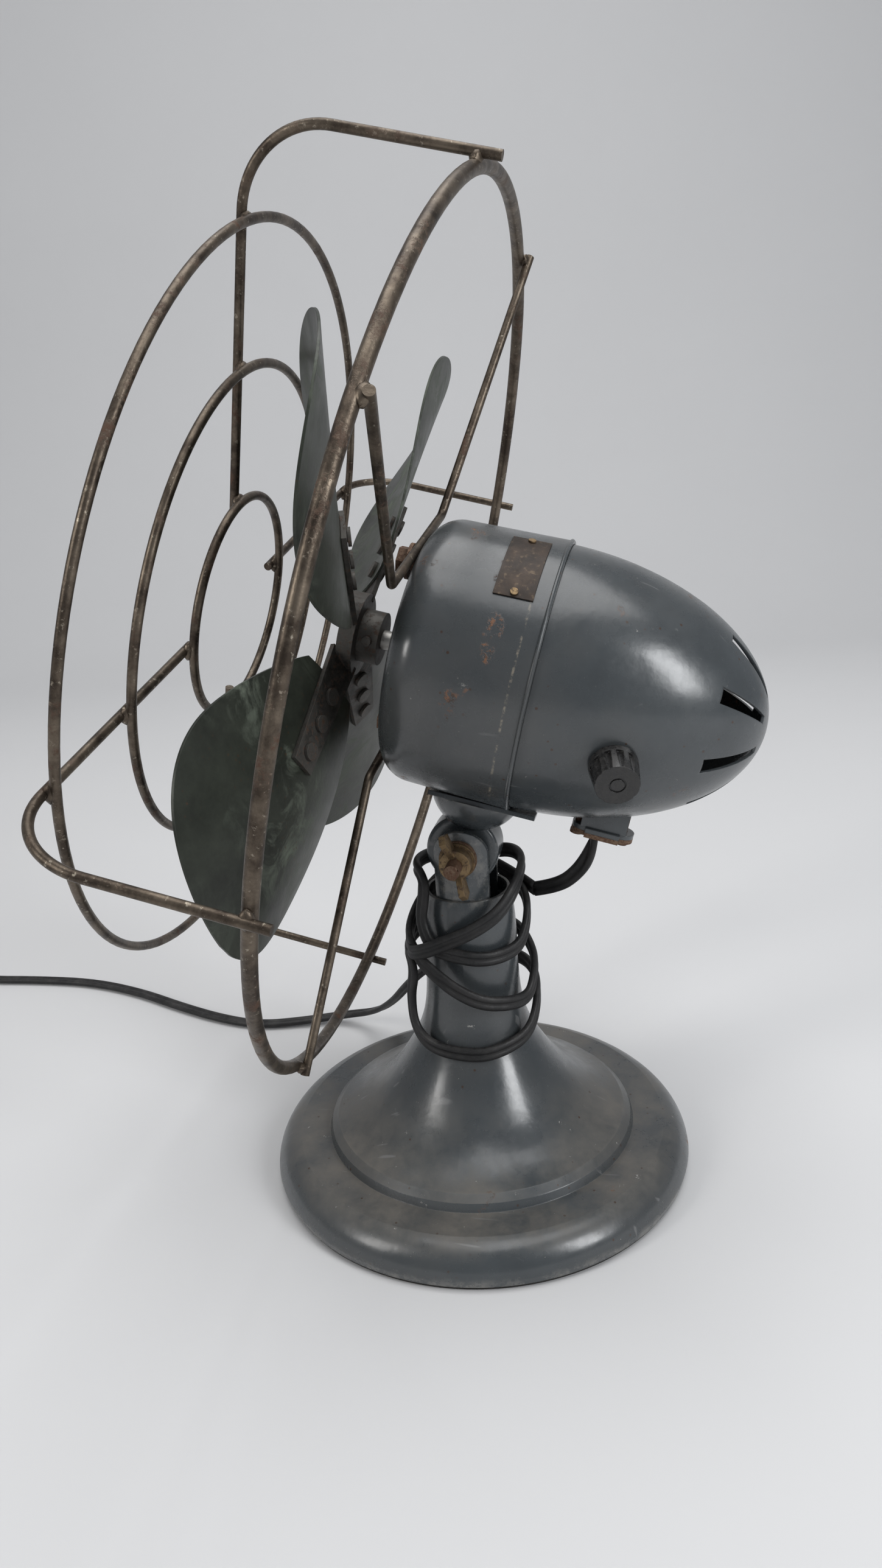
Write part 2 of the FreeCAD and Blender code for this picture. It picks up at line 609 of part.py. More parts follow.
def blade_half_width(r):
    """Half width of the paddle at r: a rounded outline, wider towards the tip."""
    middle = (BLADE_TIP_R + BLADE_HEEL_R) / 2
    reach = (BLADE_TIP_R - BLADE_HEEL_R) / 2
    u = (r - middle) / reach
    roundness = max(0.0, 1.0 - abs(u) ** BLADE_ROUND) ** (1.0 / BLADE_ROUND)
    return BLADE_HALF * roundness * (1 + BLADE_WIDER * u)


def sheet_section(r, half, low, high):
    """Closed strip across the blade at r, between two lifts off the sheet."""
    steps = [-1.0, -0.5, 0.0, 0.5, 1.0]
    edges = []
    for lift, order in ((low, steps), (high, steps[::-1])):
        curve = Part.BSplineCurve()
        curve.interpolate([blade_point(r, half * t, lift) for t in order])
        edges.append(curve.toShape())
    ends = [Part.LineSegment(blade_point(r, half, low), blade_point(r, half, high)).toShape(),
            Part.LineSegment(blade_point(r, -half, high), blade_point(r, -half, low)).toShape()]
    return Part.Wire([edges[0], ends[0], edges[1], ends[1]])


def make_blade():
    """One paddle, lofted through strips that follow its outline."""
    middle = (BLADE_TIP_R + BLADE_HEEL_R) / 2
    reach = (BLADE_TIP_R - BLADE_HEEL_R) / 2
    start = math.acos((BLADE_ROOT_R - middle) / reach)
    stations = 14
    sections = []
    for k in range(stations):
        angle = start * (1 - k / (stations - 1)) + 0.09 * k / (stations - 1)
        r = middle + reach * math.cos(angle)
        sections.append(sheet_section(r, blade_half_width(r), -BLADE_T / 2, BLADE_T / 2))
    return Part.makeLoft(sections, True, False)


def rivet_line(r):
    """Foot and direction of a blade rivet at r, square to the sheet."""
    foot = blade_point(r, 0)
    return foot, (blade_point(r, 0, 1.0) - foot).normalize()


def make_fan():
    blade = make_blade()
    arm_high = -BLADE_T / 2 - ARM_GAP
    arm_low = arm_high - ARM_T
    arm_sections = []
    for k in range(4):
        r = SPIDER_R - 4.0 + (ARM_TIP_R - SPIDER_R + 4.0) * k / 3
        arm_sections.append(sheet_section(r, ARM_HALF * (1.0 - 0.08 * k), arm_low, arm_high))
    arm = Part.makeLoft(arm_sections, True, False)
    rivets = []
    for r in RIVET_RADII:
        foot, square = rivet_line(r)
        shank = cylinder(RIVET_R, foot + square * (arm_low - 1), foot + square * (BLADE_T / 2 + 1))
        blade = blade.cut(shank)
        arm = arm.cut(shank)
        rivet = cylinder(RIVET_R, foot + square * arm_low, foot + square * (BLADE_T / 2))
        front = foot + square * (BLADE_T / 2 + 0.10)
        back = foot + square * arm_low
        rivet = rivet.fuse(cylinder(RIVET_HEAD_R, front, front + square * RIVET_HEAD_T))
        rivet = rivet.fuse(cylinder(RIVET_R, foot, front))
        rivet = rivet.fuse(cylinder(RIVET_HEAD_R, back - square * (RIVET_HEAD_T + 0.10), back - square * 0.10))
        rivet = rivet.fuse(cylinder(RIVET_R, back - square * 0.2, foot))
        rivets.append(rivet)
    for k, copy in enumerate(around_motor(blade, BLADES)):
        save_head("blade_%d" % (k + 1), copy)
    spider = turned([(HUB_S[1] - 3.0, HUB_R), (HUB_S[1] + 3.6, HUB_R), (HUB_S[1] + 3.6, SPIDER_R), (HUB_S[1] - 3.0, SPIDER_R)])
    for copy in around_motor(arm, BLADES):
        spider = spider.fuse(copy)
    spider = spider.cut(cylinder(HUB_R, at(HUB_S[0], 0, 0), at(HUB_S[1] + 9, 0, 0)))
    save_head("spider", spider)
    save_head("blade_rivets", group(copy for rivet in rivets for copy in around_motor(rivet, BLADES)))

    hub = turned([(HUB_S[0], SHAFT_R), (HUB_S[0], HUB_R + 2.0), (HUB_S[1] - 3.0, HUB_R + 2.0), (HUB_S[1] - 3.0, HUB_R),
                  (HUB_S[1] + 4.6, HUB_R), (HUB_S[1] + 4.6, 0), (HUB_S[1] - 0.5, 0), (HUB_S[1] - 0.5, SHAFT_R)])
    screw_s = (HUB_S[0] + HUB_S[1] - 3.0) / 2
    hub = hub.cut(cylinder(M4_R, at(screw_s, 0, BLADE_PHI - 45), at(screw_s, HUB_R + 4, BLADE_PHI - 45)))
    save_head("hub", hub)
    save_head("hub_set_screw", cylinder(M4_R, at(screw_s, SHAFT_R, BLADE_PHI - 45), at(screw_s, HUB_R + 3.5, BLADE_PHI - 45))
              .cut(cylinder(SHAFT_R, at(HUB_S[0], 0, 0), at(HUB_S[1], 0, 0))))


# ---- guard -----------------------------------------------------------------------------
def ring_solid(r, s, wire):
    return Part.makeTorus(r, wire, at(s, 0, 0), Y_AXIS)


def guard_screw_angles():
    return (GUARD_TURN, GUARD_TURN + 180.0)


def make_guard():
    save_head("guard_ring_rear", ring_solid(REAR_RING_R, REAR_RING_S, REAR_WIRE))
    for name, r in FRONT_RINGS:
        save_head(name, ring_solid(r, FRONT_RING_S, WIRE))
    spoke_s = FRONT_RING_S + 2 * WIRE
    spoke_r = REAR_RING_R + REAR_WIRE + WIRE
    rod, _, _ = wire_rod([at(spoke_s, SPOKE_R_IN, GUARD_TURN), at(spoke_s, spoke_r, GUARD_TURN),
                          at(SPOKE_END_S, spoke_r, GUARD_TURN)], WIRE, [SPOKE_BEND])
    for k, copy in enumerate(around_motor(rod, SPOKES)):
        save_head("guard_spoke_%d" % (k + 1), copy)

    bend_s = BELL_FRONT_S + WIRE
    ring_s = REAR_RING_S - REAR_WIRE - WIRE - SLIP
    for name, phi in (("guard_support_upper", GUARD_TURN), ("guard_support_lower", GUARD_TURN + 180.0)):
        route = [at(ring_s, REAR_RING_R + 3.0, phi - LEG_SPREAD), at(bend_s, LEG_BEND_R, phi - LEG_SPREAD),
                 at(bend_s, LEG_BEND_R, phi + LEG_SPREAD), at(ring_s, REAR_RING_R + 3.0, phi + LEG_SPREAD)]
        support, _, _ = wire_rod(route, WIRE, [LEG_BEND, LEG_BEND])
        save_head(name, support)
    washers = []
    screws = []
    for phi in guard_screw_angles():
        seat = BELL_FRONT_S + 2 * WIRE
        spot = at(seat, GUARD_SCREW_R, phi)
        washers.append(tube_piece(GUARD_WASHER_R, 2.5 + SLIP, spot, spot + FORWARD * GUARD_WASHER_T))
        head = spot + FORWARD * GUARD_WASHER_T
        shank = cylinder(2.5, at(BELL_FRONT_S - 5.0, GUARD_SCREW_R, phi), head)
        screws.append(shank.fuse(hexagon(HEX_AF, head, head + FORWARD * HEX_T)))
        spacer = tube_piece(3.6, 2.5 + SLIP, at(BELL_FRONT_S, GUARD_SCREW_R, phi), spot)
        washers.append(spacer)
    save_head("guard_washers", group(washers))
    save_head("guard_screws", group(screws))


# ---- small head parts --------------------------------------------------------------------
def knob_normal():
    """Straight out of the tail shell at the switch."""
    r = tail_radius(KNOB_S)
    out = outward(KNOB_PHI)
    slope = (SEAM_S - KNOB_S) / TAIL_L ** 2 * TAIL_R ** 2 / r
    return (out - FORWARD * slope).normalize()


def knob_point(distance):
    """Point on the switch axis, measured out from the shell."""
    return at(KNOB_S, tail_radius(KNOB_S), KNOB_PHI) + knob_normal() * distance


def make_switch():
    foot = 1.2
    knob = Part.makeCone(KNOB_R + 0.7, KNOB_R - 0.4, KNOB_L, knob_point(foot), knob_normal())
    side = knob_normal().cross(Y_AXIS).normalize()
    for k in range(KNOB_FLUTES):
        spot = side * (KNOB_R + 0.9)
        turn = FreeCAD.Rotation(knob_normal(), 360.0 * k / KNOB_FLUTES)
        offset = turn.multVec(spot)
        knob = knob.cut(cylinder(1.5, knob_point(foot + 2.4) + offset, knob_point(foot + KNOB_L + 1) + offset))
    knob = knob.cut(tube_piece(3.1, 2.5, knob_point(foot + KNOB_L - 0.5), knob_point(foot + KNOB_L + 1)))
    knob = knob.cut(cylinder(SPINDLE_R, knob_point(-1), knob_point(foot + KNOB_L - 4.0)))
    save_head("switch_knob", knob.removeSplitter())
    save_head("switch_spindle", cylinder(SPINDLE_R, knob_point(-14.0), knob_point(foot + KNOB_L - 4.0)))
    bush = tube_piece(SPINDLE_R + 1.5, SPINDLE_R + FIT, knob_point(-6.0), knob_point(0.8))
    body = tube_piece(11.0, SPINDLE_R + FIT, knob_point(-20.0), knob_point(-6.0))
    save_head("switch_body", body.fuse(bush).removeSplitter())


def plate_rivet_spots():
    mid_s = (PLATE_S[0] + PLATE_S[1]) / 2
    return [(mid_s, PLATE_PHI[0] + 2.2), (mid_s, PLATE_PHI[1] - 2.2)]


def bell_radius(s):
    """Outside radius of the straight side of the front shell."""
    side_s = BELL_FRONT_S - BELL_CORNER
    return SEAM_R + (BELL_FRONT_R - SEAM_R) * (s - SEAM_S) / (side_s - SEAM_S)


def rivet_shank(spot):
    s, phi = spot
    return cylinder(0.9, at(s, bell_radius(s) - 2.5, phi), at(s, bell_radius(s) + PLATE_T, phi))


def make_nameplate():
    a, b = PLATE_S
    wide = PLATE_PHI[1] - PLATE_PHI[0]
    strip = polygon_face([at(a, bell_radius(a) + SLIP, 0), at(b, bell_radius(b) + SLIP, 0),
                          at(b, bell_radius(b) + PLATE_T, 0), at(a, bell_radius(a) + PLATE_T, 0)])
    plate = strip.revolve(AXIS_0, Y_AXIS, wide)
    plate.rotate(AXIS_0, Y_AXIS, PLATE_PHI[0])
    if (plate.CenterOfMass - at(0, bell_radius(0), (PLATE_PHI[0] + PLATE_PHI[1]) / 2)).Length > 12:
        raise ValueError("nameplate is on the wrong side")
    rivets = []
    for spot in plate_rivet_spots():
        plate = plate.cut(rivet_shank(spot))
        s, phi = spot
        top = at(s, bell_radius(s) + PLATE_T, phi)
        rivets.append(rivet_shank(spot).fuse(cylinder(1.5, top + outward(phi) * 0.05, top + outward(phi) * 0.7)
                                             .fuse(cylinder(0.9, top - outward(phi) * 0.2, top + outward(phi) * 0.3))))
    save_head("nameplate", plate)
    save_head("nameplate_rivets", group(rivets))


def make_gland():
    """Cord entry under the tail: a seat, two clamping plates, their screws and a bushing."""
    low, high = GLAND_S
    middle = (low + high) / 2
    shell = tail_filled()
    half = GLAND_HALF
    seat = Part.makeBox(2 * half - 3.0, high - low - 7.0, 30.0, V(-half + 1.5, -high + 3.5, AXIS_H - GLAND_R)).cut(shell)
    seat = seat.cut(cylinder(4.2, at(LEAD_S, 30, 180), at(LEAD_S, 62, 180)))
    for s in GLAND_SCREW_S:
        seat = seat.cut(cylinder(1.5 + SLIP, at(s, 30, 180), at(s, 62, 180)))
    save_head("gland_seat", seat)

    def plate(top):
        ears = [cylinder(half * share, at(s, top, 180), at(s, top + GLAND_T, 180))
                for s, share in ((low + half * 0.72, 0.72), (high - half * 0.72, 0.72))]
        waist = Part.makeBox(2 * half, (high - low) * 0.55, GLAND_T, V(-half, -middle - (high - low) * 0.275,
                                                                       AXIS_H - top - GLAND_T))
        whole = ears[0].fuse(ears[1]).fuse(waist)
        link = Part.makeBox(1.1 * half, high - low - half, GLAND_T, V(-0.55 * half, -high + half / 2, AXIS_H - top - GLAND_T))
        whole = whole.fuse(link)
        whole = whole.cut(cylinder(4.2, at(LEAD_S, 30, 180), at(LEAD_S, 70, 180)))
        for s in GLAND_SCREW_S:
            whole = whole.cut(cylinder(1.5 + SLIP, at(s, 30, 180), at(s, 70, 180)))
        return whole.removeSplitter()

    save_head("gland_plate", plate(GLAND_R))
    save_head("gland_clamp", plate(GLAND_R + GLAND_T))
    under = GLAND_R + 2 * GLAND_T
    screws = []
    for s in GLAND_SCREW_S:
        shank = cylinder(1.5, at(s, tail_radius(s) - 3.0, 180), at(s, under, 180))
        screws.append(shank.fuse(cylinder(2.7, at(s, under, 180), at(s, under + 1.6, 180))))
    save_head("gland_screws", group(screws))
    bushing = tube_piece(4.2, CORD_R * 0.6, at(LEAD_S, 47.0, 180), at(LEAD_S, under, 180))
    bushing = bushing.fuse(tube_piece(5.0, CORD_R * 0.6, at(LEAD_S, under, 180), at(LEAD_S, under + 1.2, 180)))
    save_head("cord_bushing", bushing.removeSplitter())


SADDLE_T = 1.9
SADDLE_S = (-27.0, 18.0)
SADDLE_HALF = 19.0           # degrees each side of straight down


def make_knuckle():
    """Round knuckle between the ears, growing into the dome under the motor, and the saddle strap."""
    seat_r = SEAM_R + 0.05
    outside = seat_r + SADDLE_T
    strap = polygon_face([at(SADDLE_S[0], seat_r, 180), at(SADDLE_S[1], seat_r, 180),
                          at(SADDLE_S[1], outside, 180), at(SADDLE_S[0], outside, 180)])
    strap.rotate(AXIS_0, Y_AXIS, -SADDLE_HALF)
    strap = strap.revolve(AXIS_0, Y_AXIS, 2 * SADDLE_HALF)
    save_head("saddle_strap", strap)
    disc = cylinder(KNUCKLE_R, V(-KNUCKLE_HALF, 0, 0), V(KNUCKLE_HALF, 0, 0))
    rims = [edge for edge in disc.Edges if edge.Curve.TypeId == "Part::GeomCircle"]
    disc = disc.makeFillet(1.8, rims)
    dome = Part.makeSphere(DOME_R, V(0, 0, DOME_Z))
    body = disc.fuse(dome)
    body = body.cut(cylinder(outside, at(-60, 0, 0), at(60, 0, 0)))
    body = body.cut(cylinder(BOLT_R + FIT, V(-20, 0, 0), V(20, 0, 0)))
    save_head("knuckle", body.removeSplitter())


# ---- cord -------------------------------------------------------------------------------
def to_world(point):
    turn = FreeCAD.Rotation(X_AXIS, -TILT_DEG)
    return turn.multVec(point) + V(0, 0, PIVOT_Z)


def report_cord(name, solid, path, bends):
    section_area = math.pi * CORD_R ** 2
    print("%s: length %.1f, volume/section %.1f, radii %s"
          % (name, path.Length, solid.Volume / section_area, " ".join("%.0f" % b for b in bends)))


def make_cord():
    under = GLAND_R + 2 * GLAND_T + 1.2
    start = to_world(at(LEAD_S, under, 180))
    drop = to_world(at(LEAD_S, under + 8.0, 180))
    lead, path, bends = wire_rod([start, drop] + [V(*p) for p in LEAD_ROUTE], CORD_R)
    report_cord("lead", lead, path, bends)
    save("cord_lead", lead)

    run, path, bends = wire_rod([V(*p) for p in RUN_ROUTE], CORD_R)
    report_cord("run", run, path, bends)
    save("cord_run", run)

    low, high = WRAP_Z
    ring = [section(neck_radius(low) + WRAP_GAP + 2.2, low), section(WRAP_R[0], low), section(WRAP_R[1], high),
            section(NECK_TOP_R + WRAP_GAP, high), section(NECK_TOP_R + WRAP_GAP, NECK_TOP_Z),
            section(NECK_WAIST_R + WRAP_GAP, NECK_WAIST_Z), section(FLARE_R + WRAP_GAP, FLARE_Z)]
    save("cord_wrap", polygon_face(ring).revolve(ORIGIN, Z_AXIS, 360))

    half, height = COIL_SECTION
    centre = V(COIL_X, COIL_Y, 0.2)
    heap = tube_piece(COIL_MEAN_R + half, COIL_MEAN_R - half, centre, centre + V(0, 0, height))
    save("cord_coil", heap)

    wide, thick = PLUG_SECTION
    nose = V(COIL_X + 4.0, COIL_Y - COIL_MEAN_R + 6.0, height + 0.3 + thick / 2)
    body = Part.makeBox(PLUG_L, wide, thick, nose - V(0, wide / 2, thick / 2))
    body = body.makeFillet(3.0, body.Edges)
    save("plug_body", body)
    pins = [Part.makeBox(16.0, 1.6, 6.4, nose + V(PLUG_L, y - 0.8, -3.2)) for y in (-6.35, 6.35)]
    save("plug_pins", group(pins))


def main():
    os.makedirs("parts", exist_ok=True)
    make_stand()
    make_shells()
    make_motor()
    make_fan()
    make_guard()
    make_switch()
    make_nameplate()
    make_gland()
    make_knuckle()
    make_cord()


main()
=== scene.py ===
"""Looks of the desk fan: enamel, patina, worn plating, the cord round the neck and the studio it stands in.

Row frame in metres, +Z up, the fan blows towards -Y and the wing nut points to +X.
"""
import json
import math

import bpy
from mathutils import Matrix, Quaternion, Vector


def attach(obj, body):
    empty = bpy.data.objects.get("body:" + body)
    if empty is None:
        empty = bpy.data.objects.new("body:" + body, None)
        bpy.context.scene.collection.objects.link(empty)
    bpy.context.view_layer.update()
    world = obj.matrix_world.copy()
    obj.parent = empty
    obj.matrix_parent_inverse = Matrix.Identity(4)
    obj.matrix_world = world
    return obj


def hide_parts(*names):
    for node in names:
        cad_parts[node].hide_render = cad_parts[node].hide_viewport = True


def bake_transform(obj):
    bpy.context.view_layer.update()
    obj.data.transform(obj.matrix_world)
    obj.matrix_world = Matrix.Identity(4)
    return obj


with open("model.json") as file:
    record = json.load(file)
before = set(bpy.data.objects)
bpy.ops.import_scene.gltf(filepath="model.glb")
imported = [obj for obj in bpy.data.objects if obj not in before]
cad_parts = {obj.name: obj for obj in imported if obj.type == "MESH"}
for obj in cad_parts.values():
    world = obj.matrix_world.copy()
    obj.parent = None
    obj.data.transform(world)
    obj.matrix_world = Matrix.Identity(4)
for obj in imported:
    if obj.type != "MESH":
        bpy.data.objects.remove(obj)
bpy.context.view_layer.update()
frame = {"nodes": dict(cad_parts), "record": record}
nodes = frame["nodes"]
MM = 0.001

# ---- places taken from the CAD, millimetres ---------------------------------
PIVOT = Vector((0, 0, 151.0))
TILT = math.radians(14.75)
AXIS_H = 79.35               # motor axis above the pivot
SEAM_S = -16.0               # joint between the two motor shells
SEAM_R = 55.3
CREASE_S = -0.0085           # worn line on the bell, metres


def head_point(s, r, phi):
    """s forward of the pivot, r out from the motor axis, phi degrees from straight up towards +X."""
    turn = math.radians(phi)
    level = Vector((r * math.sin(turn), -s, AXIS_H + r * math.cos(turn)))
    return PIVOT + Quaternion((1, 0, 0), -TILT) @ level


# ---- procedural materials ------------------------------------------------------
class Paint:
    """Builds one node material; every helper returns a socket."""

    def __init__(self, name, roughness=0.5, metallic=0.0, specular=0.5, coat=0.0):
        self.material = bpy.data.materials.new(name)
        self.material.use_nodes = True
        self.tree = self.material.node_tree
        self.shader = self.tree.nodes["Principled BSDF"]
        self.set("Roughness", roughness)
        self.set("Metallic", metallic)
        self.set("Specular IOR Level", specular)
        self.set("Coat Weight", coat)
        self.place = self.node("ShaderNodeTexCoord").outputs["Object"]

    def node(self, kind, **values):
        made = self.tree.nodes.new(kind)
        for key, value in values.items():
            setattr(made, key, value)
        return made

    def link(self, source, target):
        self.tree.links.new(source, target)

    def feed(self, socket, value):
        """A number, a colour or another socket."""
        if isinstance(value, bpy.types.NodeSocket):
            self.link(value, socket)
        elif isinstance(value, tuple) and len(value) == 3 and socket.type == "RGBA":
            socket.default_value = value + (1.0,)
        else:
            socket.default_value = value

    def set(self, name, value):
        self.feed(self.shader.inputs[name], value)

    def noise(self, scale, detail=4.0, rough=0.6, stretch=None, warp=0.0):
        made = self.node("ShaderNodeTexNoise")
        made.inputs["Scale"].default_value = scale
        made.inputs["Detail"].default_value = detail
        made.inputs["Roughness"].default_value = rough
        made.inputs["Distortion"].default_value = warp
        self.link(self.stretched(stretch), made.inputs["Vector"])
        return made.outputs["Fac"]

    def stretched(self, stretch):
        if stretch is None:
            return self.place
        mapping = self.node("ShaderNodeMapping")
        mapping.inputs["Scale"].default_value = stretch
        self.link(self.place, mapping.inputs["Vector"])
        return mapping.outputs["Vector"]

    def cells(self, scale, feature="F1", random=1.0):
        made = self.node("ShaderNodeTexVoronoi", feature=feature)
        made.inputs["Scale"].default_value = scale
        made.inputs["Randomness"].default_value = random
        self.link(self.place, made.inputs["Vector"])
        return made.outputs["Distance"]

    def ramp(self, value, low, high):
        """0 below low, 1 above high; low may be the larger one, which turns it round."""
        made = self.node("ShaderNodeMapRange")
        made.inputs["From Min"].default_value = low
        made.inputs["From Max"].default_value = high
        self.link(value, made.inputs["Value"])
        return made.outputs["Result"]

    def math(self, operation, a, b=0.0):
        made = self.node("ShaderNodeMath", operation=operation)
        self.feed(made.inputs[0], a)
        self.feed(made.inputs[1], b)
        return made.outputs[0]

    def mix(self, share, a, b):
        made = self.node("ShaderNodeMix", data_type="RGBA")
        self.feed(made.inputs["Factor"], share)
        self.feed(made.inputs["A"], a)
        self.feed(made.inputs["B"], b)
        return made.outputs["Result"]

    def blend(self, share, a, b):
        made = self.node("ShaderNodeMix", data_type="FLOAT")
        self.feed(made.inputs["Factor"], share)
        self.feed(made.inputs["A"], a)
        self.feed(made.inputs["B"], b)
        return made.outputs["Result"]

    def axis(self, name):
        parts = self.node("ShaderNodeSeparateXYZ")
        self.link(self.place, parts.inputs[0])
        return parts.outputs[name]

    def near_level(self, level, half):
        """1 within half of a level along the motor axis, both in metres."""
        along = self.node("ShaderNodeVectorMath", operation="DOT_PRODUCT")
        self.link(self.place, along.inputs[0])
        along.inputs[1].default_value = (0.0, -math.cos(TILT), math.sin(TILT))
        start = level + PIVOT.z * MM * math.sin(TILT)
        offset = self.math("ABSOLUTE", self.math("SUBTRACT", along.outputs["Value"], start))
        return self.ramp(offset, half, half * 0.4)

    def facing_up(self):
        parts = self.node("ShaderNodeSeparateXYZ")
        self.link(self.node("ShaderNodeNewGeometry").outputs["Normal"], parts.inputs[0])
        return parts.outputs["Z"]

    def edges(self, low, high):
        """1 on worn convex edges."""
        return self.ramp(self.node("ShaderNodeNewGeometry").outputs["Pointiness"], low, high)

    def relief(self, height, depth, bevel=None):
        """Bump from a height socket, over corners rounded by bevel."""
        made = self.node("ShaderNodeBump")
        made.inputs["Distance"].default_value = depth
        made.inputs["Strength"].default_value = 1.0
        self.feed(made.inputs["Height"], height)
        if bevel:
            rounded = self.node("ShaderNodeBevel", samples=4)
            rounded.inputs["Radius"].default_value = bevel
            self.link(rounded.outputs["Normal"], made.inputs["Normal"])
        self.link(made.outputs["Normal"], self.shader.inputs["Normal"])


ENAMEL = (0.060, 0.069, 0.074)
ENAMEL_DARK = (0.040, 0.046, 0.050)
RUST = (0.20, 0.085, 0.035)
RUST_DARK = (0.045, 0.022, 0.012)
BARE = (0.34, 0.33, 0.31)
DUST = (0.15, 0.135, 0.115)


def enamel(name, rusty, dusty, chipped, worn=0.0, crease=False):
    """Blue-grey stoved enamel: faint mottling, rust clusters, pale chips, fine scratches and dust on top."""
    p = Paint(name, specular=0.6)
    tone = p.mix(p.ramp(p.noise(22, 5, 0.62), 0.34, 0.68), ENAMEL_DARK, ENAMEL)
    grime = p.math("MULTIPLY", p.ramp(p.noise(11, 4, 0.6), 0.46, 0.64), 0.35)
    tone = p.mix(grime, tone, (0.058, 0.050, 0.042))
    dust = p.math("MULTIPLY", p.ramp(p.facing_up(), 0.55, 0.98), p.ramp(p.noise(26, 7, 0.72), 0.40, 0.66))
    dust = p.math("MULTIPLY", dust, dusty)
    tone = p.mix(dust, tone, DUST)
    cluster = p.ramp(p.noise(52, 3, 0.5), 0.70 - 0.05 * rusty, 0.75 - 0.05 * rusty)
    speck = p.math("MULTIPLY", p.ramp(p.noise(620, 4, 0.75), 0.50, 0.57), cluster)
    tone = p.mix(p.math("MULTIPLY", speck, 0.9), tone, p.mix(p.ramp(p.noise(240, 3), 0.42, 0.60), RUST_DARK, RUST))
    pit = p.math("MULTIPLY", p.ramp(p.cells(170), 0.105, 0.075), p.ramp(p.noise(47, 2), 0.44, 0.52))
    tone = p.mix(p.math("MULTIPLY", pit, 0.9), tone, RUST_DARK)
    chips = p.math("MULTIPLY", p.ramp(p.noise(210, 5, 0.8, stretch=(1, 1, 1.6)), 0.665, 0.685),
                   p.ramp(p.noise(25, 2), 0.56 - 0.12 * chipped, 0.62 - 0.12 * chipped))
    tone = p.mix(p.math("MULTIPLY", chips, 0.9), tone, BARE)
    bruise = p.math("MULTIPLY", p.edges(0.52, 0.57), p.ramp(p.noise(120, 6, 0.75), 0.44, 0.60))
    tone = p.mix(p.math("MULTIPLY", bruise, worn), tone, (0.22, 0.21, 0.19))
    scratch = p.ramp(p.noise(300, 2, 0.4, stretch=(0.9, 0.07, 0.4), warp=0.3), 0.715, 0.755)
    tone = p.mix(p.math("MULTIPLY", scratch, 0.45), tone, (0.20, 0.20, 0.20))
    if crease:
        line = p.near_level(CREASE_S, 0.0006)
        line = p.math("MULTIPLY", line, p.ramp(p.noise(210, 4, 0.8), 0.49, 0.60))
        line = p.math("MULTIPLY", line, p.ramp(p.axis("X"), 0.030, 0.040))
        tone = p.mix(p.math("MULTIPLY", line, 0.6), tone, (0.30, 0.26, 0.20))
    p.set("Base Color", tone)
    gloss = p.blend(p.ramp(p.noise(60, 5, 0.7), 0.3, 0.7), 0.20, 0.34)
    rough = p.math("ADD", p.math("MULTIPLY", speck, 0.35), p.math("MULTIPLY", dust, 0.45))
    p.set("Roughness", p.math("ADD", gloss, rough))
    p.set("Coat Weight", 0.15)
    p.set("Coat Roughness", 0.16)
    height = p.math("ADD", p.math("SUBTRACT", p.noise(260, 2, 0.5), p.math("MULTIPLY", chips, 1.2)),
                    p.math("MULTIPLY", speck, 1.4))
    p.relief(height, 0.00006, bevel=0.0006)
    return p.material


def metal(name, light, dark, roughness, spots=None, spot_share=0.0, scale=220, metallic=0.85, bevel=0.0004):
    """Worn metal: tarnish in patches, rust or grime in spots, brighter where it rubs."""
    p = Paint(name, metallic=metallic)
    patch = p.ramp(p.noise(scale, 6, 0.7), 0.36, 0.64)
    tone = p.mix(patch, dark, light)
    rub = p.math("MULTIPLY", p.edges(0.52, 0.58), 0.5)
    tone = p.mix(rub, tone, tuple(min(1.0, c * 1.7) for c in light))
    cover = p.math("MULTIPLY", p.ramp(p.noise(scale * 1.9, 5, 0.75), 0.66 - 0.25 * spot_share, 0.72 - 0.2 * spot_share),
                   1.0 if spots else 0.0)
    tone = p.mix(cover, tone, spots or dark)
    p.set("Base Color", tone)
    p.set("Metallic", p.math("MULTIPLY", p.math("SUBTRACT", 1.0, p.math("MULTIPLY", cover, 0.8)), metallic))
    p.set("Roughness", p.math("ADD", p.math("MULTIPLY", p.noise(scale * 0.7, 4), 0.25), roughness))
    p.relief(p.math("ADD", p.noise(scale * 4, 3), cover), 0.00006, bevel=bevel)
    return p.material


def blade_paint():
    """Dark green-black lacquer with pale blooms, rust freckles and dust drawn along the swirl."""
    p = Paint("Blade patina", metallic=0.35, specular=0.45)
    base = p.mix(p.ramp(p.noise(22, 6, 0.7), 0.36, 0.66), (0.016, 0.018, 0.014), (0.042, 0.048, 0.036))
    bloom = p.math("MULTIPLY", p.ramp(p.noise(46, 8, 0.72, warp=1.1), 0.50, 0.66), p.ramp(p.noise(13, 2), 0.42, 0.60))
    base = p.mix(p.math("MULTIPLY", bloom, 0.75), base, (0.15, 0.175, 0.135))
    freckle = p.math("MULTIPLY", p.ramp(p.cells(330), 0.22, 0.12), p.ramp(p.noise(40, 3), 0.48, 0.6))
    base = p.mix(p.math("MULTIPLY", freckle, 0.6), base, (0.060, 0.034, 0.018))
    p.set("Base Color", base)
    p.set("Roughness", p.blend(bloom, p.math("ADD", p.math("MULTIPLY", p.noise(90, 5), 0.22), 0.27), 0.7))
    p.relief(p.math("ADD", p.noise(500, 3), bloom), 0.00005, bevel=0.0003)
    return p.material


